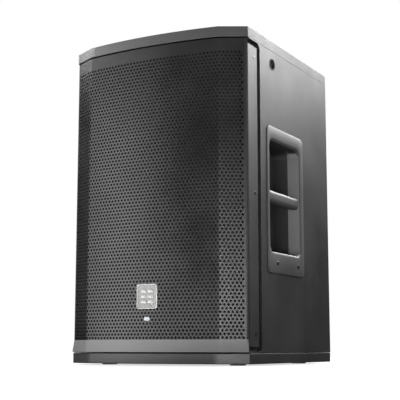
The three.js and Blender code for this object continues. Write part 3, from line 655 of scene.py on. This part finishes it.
def build_badge():
    """A plain rounded plate: a bright rim and three rows of even tiles stand over a duller field."""
    low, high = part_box("badge_plate")
    cx, _, cz = middle_of("badge_plate")
    w, h = (high.x - low.x) / 2, (high.z - low.z) / 2
    face, corner = low.y, 5 * MM

    def ring(inset, y):
        return upright_ring(cx, y, cz, w - inset, h - inset, max(corner - inset, 1 * MM))

    rings = [ring(0, high.y), ring(0, face + 0.8 * MM), ring(0.5 * MM, face + 0.2 * MM),
             ring(1.2 * MM, face), ring(2.6 * MM, face), ring(3.1 * MM, face + 0.3 * MM),
             ring(3.4 * MM, face + 1.0 * MM)]
    loft("badge_rim", rings, BADGE_METAL, slot="badge_metal", stands_for=["badge_plate"])
    field = [ring(3.5 * MM, face + 1.3 * MM), ring(3.5 * MM, face + 0.9 * MM)]
    loft("badge_field", field, BADGE_FIELD, slot="badge_metal")
    tile_w, tile_h, across, up = 5.7 * MM, 3.2 * MM, 7.2 * MM, 9.6 * MM
    for k in range(6):
        x, z = cx + (k % 2 * 2 - 1) * across, cz + (k // 2 - 1) * up
        tile = [upright_ring(x, face + 1.1 * MM - rise, z, tile_w - inset, tile_h - inset, 1.1 * MM, 4)
                for inset, rise in ((0, 0), (0, 0.55 * MM), (0.3 * MM, 0.85 * MM), (0.9 * MM, 0.95 * MM))]
        loft(f"badge_tile_{k + 1}", tile, BADGE_METAL, slot="badge_metal")


def build_light():
    low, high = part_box("status_light_lens")
    cx, _, cz = middle_of("status_light_lens")
    w, h = (high.x - low.x) / 2, (high.z - low.z) / 2
    rings = [upright_ring(cx, high.y - rise * MM, cz, w - inset * MM, h - inset * MM,
                          max(h - inset * MM, 0.4 * MM) * 0.98)
             for inset, rise in ((0, 0), (0, 1.0), (0.4, 1.6), (1.4, 1.95), (2.4, 2))]
    loft("status_light_dome", rings, STATUS_WHITE, slot="lens", stands_for=["status_light_lens"])


def build_grille_screws():
    flange_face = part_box("front_grille")[1].x + 0.1 * MM
    for side, axis, x in (("left", "-X", -flange_face), ("right", "+X", flange_face)):
        for level in ("low", "middle", "high"):
            node = f"grille_screw_{side}_{level}"
            screw(f"{node}_finished", (x, *middle_of(node)[1:]), axis, 4.6, 2.4, 12, [node])


# ---- handles -----------------------------------------------------------------

MOUTH_INSET = {"front": 12 * MM, "back": 19 * MM, "bottom": 40 * MM, "top": 26 * MM}
BEZEL_CORNER = 13 * MM
BEZEL_PROUD = 1.8 * MM
LIP_DEPTH = 21 * MM


def build_handle(word):
    """The cup and its bezel as one moulding, the seal behind the bezel, the grip and two screws."""
    node = f"{word}_handle_cup"
    low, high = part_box(node)
    right = word == "right"
    outward = 1 if right else -1
    face = high.x if right else -low.x
    floor = low.x if right else -high.x
    y0, y1 = low.y + MOUTH_INSET["front"], high.y - MOUTH_INSET["back"]
    z0, z1 = low.z + MOUTH_INSET["bottom"], high.z - MOUTH_INSET["top"]

    def ring(a, b, c, d, radius, x):
        points = [Vector((outward * x, u, v)) for u, v in rounded_ring(a, b, c, d, radius, 8)]
        return points if right else list(reversed(points))

    def about_bezel(inset, x):
        return ring(low.y + inset, high.y - inset, low.z + inset, high.z - inset, BEZEL_CORNER - inset, x)

    def about_mouth(inset, x, radius=14 * MM, flare=0.0):
        return ring(y0 + inset, y1 - inset - flare, z0 + inset, z1 - inset, radius, x)

    wood = face - BEZEL_PROUD
    outside = [about_mouth(6 * MM, floor), about_mouth(-2.8 * MM, floor + 6 * MM, 16 * MM),
               about_mouth(-2.8 * MM, wood + 0.2 * MM, 17 * MM)]
    bezel = [about_bezel(0.2 * MM, wood + 0.2 * MM), about_bezel(0, wood + 0.9 * MM),
             about_bezel(0.5 * MM, face - 0.3 * MM), about_bezel(1.4 * MM, face)]
    lip = [about_mouth(-5 * MM, face, 17 * MM), about_mouth(-2.6 * MM, face - 0.5 * MM, 15.5 * MM),
           about_mouth(-0.9 * MM, face - 1.9 * MM), about_mouth(0, face - 4.5 * MM, flare=1.2 * MM),
           about_mouth(0.6 * MM, face - 19 * MM, flare=8 * MM),
           about_mouth(1.6 * MM, face - 20.2 * MM, flare=8.2 * MM),
           about_mouth(1.9 * MM, face - LIP_DEPTH, flare=8.3 * MM)]
    inside = [about_mouth(inset * MM, floor + height * MM, flare=8.5 * MM)
              for inset, height in ((3.0, 13), (5.5, 6), (12, 3.2))]
    cup = loft(f"{word}_handle_cup_moulding", outside + bezel + lip + inside, HANDLE_PLASTIC,
               slot="handle_plastic", stands_for=[node], smooth=50)

    # Painted light and shade: faces deep in the cup and under the top of the mouth take the painted shade,
    # and the lip's front-facing rear wall takes the painted light.
    def shade(wall):
        depth = face - outward * wall.center.x
        if wall.normal.y < -0.7 and 2 * MM < depth < LIP_DEPTH:
            return 2
        return 1 if depth > 20.5 * MM or (wall.normal.z < -0.7 and depth > 4 * MM) else 0

    paint(cup, [PAINTED_SHADE_CUP_PLASTIC, PAINTED_LIGHT_LIP_PLASTIC], shade)

    seal = [about_bezel(3 * MM, wood - 0.2 * MM), about_bezel(-1.3 * MM, wood - 0.2 * MM),
            about_bezel(-1.3 * MM, wood + 0.1 * MM), about_bezel(-0.9 * MM, wood + 0.25 * MM),
            about_bezel(3 * MM, wood + 0.25 * MM)]
    loft(f"{word}_handle_seal", seal, RUBBER, hoop=True, slot="foot_rubber")

    grip = f"{word}_handle_grip"
    start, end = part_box(grip)
    middle_x, _, middle_z = middle_of(grip)
    half_x, half_z = (end.x - start.x) / 2, (end.z - start.z) / 2
    steps = 16
    sections = []
    for i in range(steps + 1):
        t = i / steps
        flare = 1.2 * MM * (abs(2 * t - 1) ** 8)
        crown = 0.08 * MM * (1 - (2 * t - 1) ** 2)
        sections.append(upright_ring(middle_x, start.y + (end.y - start.y) * t, middle_z,
                                     half_x, half_z + flare - crown, 7.5 * MM))
    loft(f"{grip}_moulding", sections, HANDLE_PLASTIC, slot="handle_plastic", stands_for=[grip], smooth=50)

    for k, y in enumerate((low.y + 42 * MM, low.y + 139 * MM)):
        screw(f"{word}_handle_screw_{k + 1}", (outward * (face - 0.9 * MM), y, low.z + 19 * MM),
              "+X" if right else "-X", 4.6, 2.3, 14)


# ---- feet, rigging points, pole socket ---------------------------------------

def build_base():
    for place in ("front_left", "front_right", "back_left", "back_right"):
        node = f"foot_{place}"
        x, y, _ = middle_of(node)
        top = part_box(node)[1].z * 1000
        profile = [(5, top), (14.6, top), (15, top - 0.5), (14.6, 0.9), (13.9, 0.2), (12.9, 0),
                   (9.2, 0), (8.5, 0.3), (8.2, 1.7), (4.8, 1.7)]
        turned(f"{node}_finished", [(r, -h) for r, h in profile], (x, y, 0), "-Z", RUBBER,
               slot="foot_rubber", stands_for=[node])
        screw(f"{node}_screw", (x, y, 2.2 * MM), "-Z", 4.2, 1.6, 4)
    softened("pole_socket", BLACK_PLASTIC, 0.6 * MM)
    x, y, _ = middle_of("pole_socket")
    sunk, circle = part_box("pole_socket")[0].z + 1.2 * MM, 29 * MM
    for k in range(4):
        a = math.radians(45 + 90 * k)
        screw(f"pole_socket_screw_{k + 1}", (x + circle * math.cos(a), y + circle * math.sin(a), sunk),
              "-Z", 3.6, 1.9, 2)


def build_rigging():
    """Sunk inserts, each closed by a dark plug with a hexagon recess."""
    bore = [(8.6, -14), (9, -13), (9, -0.6), (10.6, -0.6), (11, -0.3), (10.8, -0.1), (10.2, 0),
            (9.0, -0.1), (8.5, -0.8), (8.2, -5.5), (7.6, -6), (5.2, -6)]
    recess = [(4.6, -6.1), (4.4, -10)]
    for node, axis in (("side_rigging_point_left", "-X"), ("side_rigging_point_right", "+X"),
                       ("top_rigging_point_left", "+Z"), ("top_rigging_point_right", "+Z")):
        low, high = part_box(node)
        at = middle_of(node)
        lane = "XYZ".index(axis[1])
        at[lane] = high[lane] if axis[0] == "+" else low[lane]
        turned(f"{node}_finished", bore + recess, at, axis, RUBBER,
               outline=lambda i, a: six_sided(a) if i >= len(bore) else 1.0,
               slot="black_steel", stands_for=[node])


# ---- amplifier panel ---------------------------------------------------------

PANEL_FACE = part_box("amp_panel")[1].y
FLUTES = 18
INPUT_X = 60 * MM
PRINT_RISE = 0.08 * MM


def build_knob(node, body, radius, reach):
    """A fluted knob with a printed pointer. Radius and reach from the panel are in millimetres."""
    name = f"{node}_finished"
    x, _, z = middle_of(node)
    profile = [(radius - 2, 1.0), (radius, 1.0), (radius + 0.2, 1.5), (radius, 2.8), (radius - 1.0, 3.4),
               (radius - 1.1, 4.2), (radius - 1.7, reach - 1.2), (radius - 2.1, reach - 0.4),
               (radius - 2.9, reach), (radius - 4.2, reach - 0.25)]

    def fluting(i, a):
        return 1.0 + (0.035 * math.cos(FLUTES * a) if 4 <= i <= 7 else 0.0)

    turned(name, profile, (x, PANEL_FACE, z), "+Y", BLACK_PLASTIC, 108, fluting, body=body,
           slot="knob_plastic", stands_for=[node])
    block(f"{name}_pointer",
          (x - 0.55 * MM, PANEL_FACE + (reach - 0.5) * MM, z + radius * 0.42 * MM),
          (x + 0.55 * MM, PANEL_FACE + (reach + 0.12) * MM, z + (radius - 2.4) * MM),
          PRINT, 0.1 * MM, body=body, slot="knob_plastic")


def block(name, low, high, material, edge, body=BODY, slot=None, stands_for=(), radius=None):
    """A small moulded block standing out along +Y, with rounded corners and an eased outer edge."""
    (x0, y0, z0), (x1, y1, z1) = low, high
    radius = radius or min(x1 - x0, z1 - z0) * 0.3
    rings = []
    for inset, y in ((0, y0), (0, y1 - edge), (edge * 0.3, y1 - edge * 0.3), (edge, y1)):
        corner = max(radius - inset, radius * 0.3)
        ring = rounded_ring(x0 + inset, x1 - inset, z0 + inset, z1 - inset, corner, 4)
        rings.append([Vector((u, y, v)) for u, v in reversed(ring)])
    return loft(name, rings, material, body=body, slot=slot, stands_for=stands_for)


def dial_marks(node, radius, count=11, sweep=300):
    """Printed ticks round a knob that turns through sweep degrees, the end and middle ones longer."""
    x, _, z = middle_of(node)
    points, faces = [], []
    for k in range(count):
        a = math.radians(90 + sweep / 2 - sweep * k / (count - 1))
        out = Vector((-math.cos(a), 0, math.sin(a)))
        side = Vector((math.sin(a), 0, math.cos(a)))
        long = 2.6 if k in (0, count // 2, count - 1) else 1.6
        corners = [(radius, -0.25), (radius, 0.25), (radius + long, 0.25), (radius + long, -0.25)]
        start = len(points)
        for rise in (0.0, PRINT_RISE):
            points += [Vector((x, PANEL_FACE, z)) + (out * r + side * t) * MM + Vector((0, rise, 0))
                       for r, t in corners]
        quad = (0, 1, 2, 3)
        faces.append([start + i for i in quad])
        faces.append([start + 4 + i for i in reversed(quad)])
        faces += [[start + i, start + 4 + i, start + 4 + (i + 1) % 4, start + (i + 1) % 4] for i in quad]
    turn_faces_outward(make_piece(f"{node}_scale", points, faces, PRINT, slot="panel_aluminium"))


def printed_frame(name, x0, x1, z0, z1):
    """A thin printed line round one group of controls."""
    line, corner = 0.6 * MM, 4 * MM
    outer = rounded_ring(x0, x1, z0, z1, corner)
    inner = rounded_ring(x0 + line, x1 - line, z0 + line, z1 - line, corner - line)
    rings = [[Vector((u, PANEL_FACE + up, v)) for u, v in reversed(ring)]
             for ring, up in ((outer, 0), (outer, PRINT_RISE), (inner, PRINT_RISE), (inner, 0))]
    loft(name, rings, PRINT, hoop=True, slot="panel_aluminium")


PIN = [(1.0, -12.8), (1.2, -12.6), (1.2, -5), (0.9, -4.2), (0.5, -4)]
CONTACT = [(1.5, -5.8), (1.5, -5.3), (1.2, -5.2), (0.9, -5.3), (0.8, -5.9)]
INSERT = [(9.2, -6.9), (9.2, -5.9), (8.8, -5.6), (4.2, -5.6), (3.5, -5.9), (3.3, -6.8)]
JACK_RING = [(4.6, -5.7), (4.6, -4.9), (4.2, -4.6), (3.5, -4.7), (3.3, -5.6)]


def build_sockets():
    """Two inputs that take either plug, and one output with pins."""
    def three(name, profile, first_angle, circle, material, slot):
        for k in range(3):
            a = math.radians(first_angle + 120 * k)
            at = (x + circle * MM * math.cos(a), face, z + circle * MM * math.sin(a))
            turned(f"{name}_{k + 1}", profile, at, "+Y", material, 20, slot=slot)

    for node in ("input_1_socket", "input_2_socket", "link_output_socket"):
        x, _, z = middle_of(node)
        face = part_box(node)[1].y
        softened(node, SOCKET_PLASTIC, 0.35 * MM, segments=2)
        for k, side in enumerate((-1, 1)):
            screw(f"{node}_screw_{k + 1}", (x + side * 9.8 * MM, face - 1.35 * MM, z - side * 12.2 * MM),
                  "+Y", 2.3, 1.1, 2)
        if node == "link_output_socket":
            three(f"{node}_pin", PIN, -30, 4.4, BRIGHT_STEEL, "latch_metal")
            continue
        turned(f"{node}_insert", INSERT, (x, face, z), "+Y", SOCKET_PLASTIC, 40, slot="socket_plastic")
        turned(f"{node}_jack_ring", JACK_RING, (x, face, z), "+Y", BRIGHT_STEEL, 32, slot="latch_metal")
        three(f"{node}_contact", CONTACT, -90, 6.5, COPPER, "copper")
    for k in (1, 2):
        softened(f"input_{k}_latch_tab", BRIGHT_STEEL, 0.3 * MM, body=f"input_{k}_latch",
                 segments=2)


def build_knobs():
    for k in (1, 2):
        build_knob(f"input_{k}_level_knob", f"input_{k}_knob", 8, 11)
        dial_marks(f"input_{k}_level_knob", 9.6)
    build_knob("menu_knob", "menu_dial", 13, 12)


def build_lamps():
    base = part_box("input_1_socket")[1].z
    for k, x in ((1, -INPUT_X), (2, INPUT_X)):
        for j, material, height in ((1, SIGNAL_GREEN, 21), (2, SIGNAL_RED, 13)):
            turned(f"input_{k}_lamp_{j}", [(1.6, 0), (1.6, 0.5), (1.3, 1.0), (0.6, 1.25)],
                   (x + 17 * MM, PANEL_FACE, base + height * MM), "+Y", material, 20, slot="lens")


def build_prints():
    margin = 6 * MM
    for k, x in ((1, -INPUT_X), (2, INPUT_X)):
        foot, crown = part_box(f"input_{k}_socket")[0].z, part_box(f"input_{k}_level_knob")[1].z
        printed_frame(f"input_{k}_print", x - 21 * MM, x + 23 * MM, foot - margin, crown + 7 * MM)
    low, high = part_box("link_output_socket")
    printed_frame("link_output_print", low.x - margin, high.x + margin, low.z - margin, high.z + margin)


def build_display():
    low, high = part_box("display_window")
    border = 2.4 * MM
    block("display_frame", (low.x - border, PANEL_FACE, low.z - border),
          (high.x + border, PANEL_FACE + 1.6 * MM, high.z + border),
          BLACK_PLASTIC, 0.6 * MM, slot="display_plastic", radius=3 * MM)
    block("display_glass", (low.x, PANEL_FACE + 0.6 * MM, low.z), high,
          WINDOW, 0.4 * MM, slot="display_plastic", radius=2.2 * MM, stands_for=["display_window"])


def build_mains():
    softened("mains_inlet", SOCKET_PLASTIC, 0.5 * MM, segments=2)
    x, _, z = middle_of("mains_inlet")
    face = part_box("mains_inlet")[1].y
    for k, (dx, dz) in enumerate(((-7, -2), (7, -2), (0, 3))):
        block(f"mains_inlet_pin_{k + 1}", (x + (dx - 1) * MM, face - 15 * MM, z + (dz - 2) * MM),
              (x + (dx + 1) * MM, face - 3 * MM, z + (dz + 2) * MM), BRIGHT_STEEL, 0.4 * MM,
              slot="latch_metal")
    for k, dx in enumerate((-19.5, 19.5)):
        screw(f"mains_inlet_screw_{k + 1}", (x + dx * MM, face - 0.6 * MM, z), "+Y", 2.6, 1.4, 2)
    softened("power_switch_frame", SOCKET_PLASTIC, 0.5 * MM, segments=2)
    softened("power_rocker", ROCKER_RED, 0.8 * MM, body="rocker")


def build_amplifier():
    softened("amp_panel", PANEL_COAT, 0.5 * MM, segments=2)
    softened("heat_sink", SINK_METAL, 0.35 * MM, segments=2)
    low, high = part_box("amp_panel")
    inset = 8 * MM
    spots = [(x, z) for z in (low.z + inset, (low.z + high.z) / 2, high.z - inset)
             for x in (low.x + inset, high.x - inset)]
    for k, (x, z) in enumerate(spots):
        screw(f"amp_panel_screw_{k + 1}", (x, PANEL_FACE, z), "+Y", 4.2, 2.2, 8)
    build_knobs()
    build_display()
    build_lamps()
    build_sockets()
    build_prints()
    build_mains()


# ---- wooden box --------------------------------------------------------------

def build_cabinet():
    """The coated wooden panels. The caps' front edges are smoother than the rest, and coloured lighter as
    painted light for the light they catch.
    """
    cap = softened("top_panel", PAINTED_LIGHT_CAP_COAT, 3.5 * MM, segments=5, sharp=50)
    paint(cap, [CABINET_COAT, TOP_COAT],
          lambda face: 0 if face.normal.y < -0.3 else 2 if face.normal.z > 0.9 else 1)
    base = softened("bottom_panel", CABINET_COAT, 1.6 * MM, segments=4, sharp=50)
    paint(base, [PAINTED_LIGHT_CAP_COAT], lambda face: 1 if face.normal.y < -0.3 else 0)
    for node, edge in (("left_side_panel", 1.0), ("right_side_panel", 1.0), ("back_panel", 0.6)):
        softened(node, CABINET_COAT, edge * MM, segments=2, sharp=50)


INNER_FINISHES = {
    "grille_foam": FOAM, "front_baffle": CABINET_COAT, "window_brace": PLY, "woofer_basket": CAST_FRAME,
    "woofer_magnet": MAGNET, "compression_driver": MAGNET, "woofer_voice_coil": COPPER, "woofer_cone": PULP,
    "woofer_dust_cap": PULP, "woofer_surround": CLOTH, "woofer_spider": SPIDER_CLOTH,
    "horn_waveguide": BLACK_PLASTIC, "left_port_tube": BLACK_PLASTIC, "right_port_tube": BLACK_PLASTIC,
    "amp_back_cover": ZINC, "amplifier_board": BOARD, "power_transformer": COPPER, "menu_knob_shaft": ZINC,
    "damping_pad": WADDING,
}


def dress_inner_nodes():
    for node, material in INNER_FINISHES.items():
        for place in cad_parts[node].material_slots:
            place.material = material


# ---- stage -------------------------------------------------------------------

FLOOR_HALF = 12
FLOOR_PALE = (0.9, 0.9, 0.9, 1)
FLOOR_BOUNCE = (0.06, 0.06, 0.06, 1)
STUDIO_DARK = (0.030, 0.030, 0.031, 1)
LIGHTS_AIM = Vector((0, 0, 0.3))

# Name, azimuth, elevation, distance, width, height, power. Azimuth 0 is straight ahead of the grille
# and grows towards +X.
SOFTBOXES = (
    ("front_left_softbox", -41, 5, 2.4, 1.2, 1.2, 19),
    ("left_high_softbox", -81, 37, 2.4, 1.1, 0.9, 52),
    ("near_low_softbox", 24, -4, 2.6, 0.6, 0.4, 16),
    ("back_right_softbox", 153, 35, 2.4, 1.5, 0.9, 96),
    ("right_fill_softbox", 80, 18, 2.6, 1.2, 1.0, 11),
    ("overhead_softbox", -10, 72, 2.4, 1.6, 1.6, 22),
    ("back_left_softbox", -135, 25, 2.8, 1.2, 1.2, 50),
)
# Cards that lie flat and shine up: name, width, depth, power, place.
CARDS = (
    ("front_floor_card", 2.0, 1.1, 46, (-0.1, -1.00, 0.003)),
    ("underside_card", 0.5, 0.5, 8, (0, 0, -0.6)),
)

CAMERA_PLACE = (0.930, -1.715, 0.032)
CAMERA_HEADING = -28.6
CAMERA_CLIMB = 8.6
SENSOR_WIDTH = 36
FOCAL_LENGTH = 87.8


def floor_finish():
    """White paper to the eye, dull to every other ray, and clear from below and to shadows."""
    pale = bpy.data.materials.new("pale_floor")
    pale.use_nodes = True
    nodes = Nodes(pale.node_tree)
    shader = pale.node_tree.nodes["Principled BSDF"]
    nodes.fill(shader, Base_Color=FLOOR_PALE, Roughness=0.9, Specular_IOR_Level=0.0)
    bright = nodes.add("ShaderNodeEmission")
    nodes.fill(bright, Color=WHITE)
    length = nodes.add("ShaderNodeVectorMath", operation="LENGTH")
    nodes.link(nodes.place(), length.inputs[0])
    fade = nodes.ramp(length.outputs["Value"], 0.35, 2.0, 0.62, 1.0)
    paper = nodes.mix_shaders(fade, shader.outputs[0], bright.outputs[0])
    dull = nodes.add("ShaderNodeBsdfDiffuse")
    nodes.fill(dull, Color=FLOOR_BOUNCE)
    rays = nodes.add("ShaderNodeLightPath").outputs
    above = nodes.mix_shaders(rays["Is Camera Ray"], dull.outputs[0], paper)
    below = nodes.add("ShaderNodeNewGeometry").outputs["Backfacing"]
    see_through = nodes.math("MAXIMUM", below, rays["Is Shadow Ray"])
    clear = nodes.add("ShaderNodeBsdfTransparent").outputs[0]
    surface = nodes.mix_shaders(see_through, above, clear)
    nodes.link(surface, pale.node_tree.nodes["Material Output"].inputs["Surface"])
    return pale


def build_stage():
    floor = bpy.data.meshes.new("floor")
    r = FLOOR_HALF
    floor.from_pydata([(-r, -r, 0), (r, -r, 0), (r, r, 0), (-r, r, 0)], [], [(0, 1, 2, 3)])
    floor.materials.append(floor_finish())
    put_in_scene("floor", floor)


def area_light(name, wide, tall, power):
    data = bpy.data.lights.new(name, "AREA")
    data.shape = "RECTANGLE"
    data.size, data.size_y, data.energy = wide, tall, power
    lamp = put_in_scene(name, data)
    lamp.visible_camera = False
    return lamp


def build_lights():
    for name, azimuth, elevation, distance, wide, tall, power in SOFTBOXES:
        lamp = area_light(name, wide, tall, power)
        a, e = math.radians(azimuth), math.radians(elevation)
        towards = Vector((math.sin(a) * math.cos(e), -math.cos(a) * math.cos(e), math.sin(e)))
        lamp.location = LIGHTS_AIM + distance * towards
        lamp.rotation_euler = (LIGHTS_AIM - lamp.location).to_track_quat("-Z", "Y").to_euler()
    for name, wide, deep, power, spot in CARDS:
        card = area_light(name, wide, deep, power)
        card.location = spot
        card.rotation_euler = (math.pi, 0, 0)


def build_world():
    """White to the camera, nearly dark to everything else."""
    world = bpy.data.worlds.new("studio")
    world.use_nodes = True
    nodes = Nodes(world.node_tree)
    base = world.node_tree.nodes["Background"]
    nodes.fill(base, Color=STUDIO_DARK)
    seen = nodes.add("ShaderNodeBackground")
    nodes.fill(seen, Color=WHITE)
    to_eye = nodes.add("ShaderNodeLightPath").outputs["Is Camera Ray"]
    sky = nodes.mix_shaders(to_eye, base.outputs[0], seen.outputs[0])
    nodes.link(sky, world.node_tree.nodes["World Output"].inputs["Surface"])
    bpy.context.scene.world = world
    bpy.context.scene.view_settings.view_transform = "Standard"


def aim_camera():
    data = bpy.data.cameras.new("camera")
    data.sensor_width = SENSOR_WIDTH
    data.lens = FOCAL_LENGTH
    data.clip_end = 100
    camera = put_in_scene("camera", data)
    a, e = math.radians(CAMERA_HEADING), math.radians(CAMERA_CLIMB)
    forward = Vector((math.sin(a) * math.cos(e), math.cos(a) * math.cos(e), math.sin(e)))
    camera.location = CAMERA_PLACE
    camera.rotation_euler = forward.to_track_quat("-Z", "Y").to_euler()
    bpy.context.scene.camera = camera


# ---- assembly ----------------------------------------------------------------

aim_camera()
build_cabinet()
build_grille()
build_badge()
build_light()
build_grille_screws()
for word in ("left", "right"):
    build_handle(word)
build_base()
build_rigging()
build_amplifier()
dress_inner_nodes()
build_stage()
build_lights()
build_world()
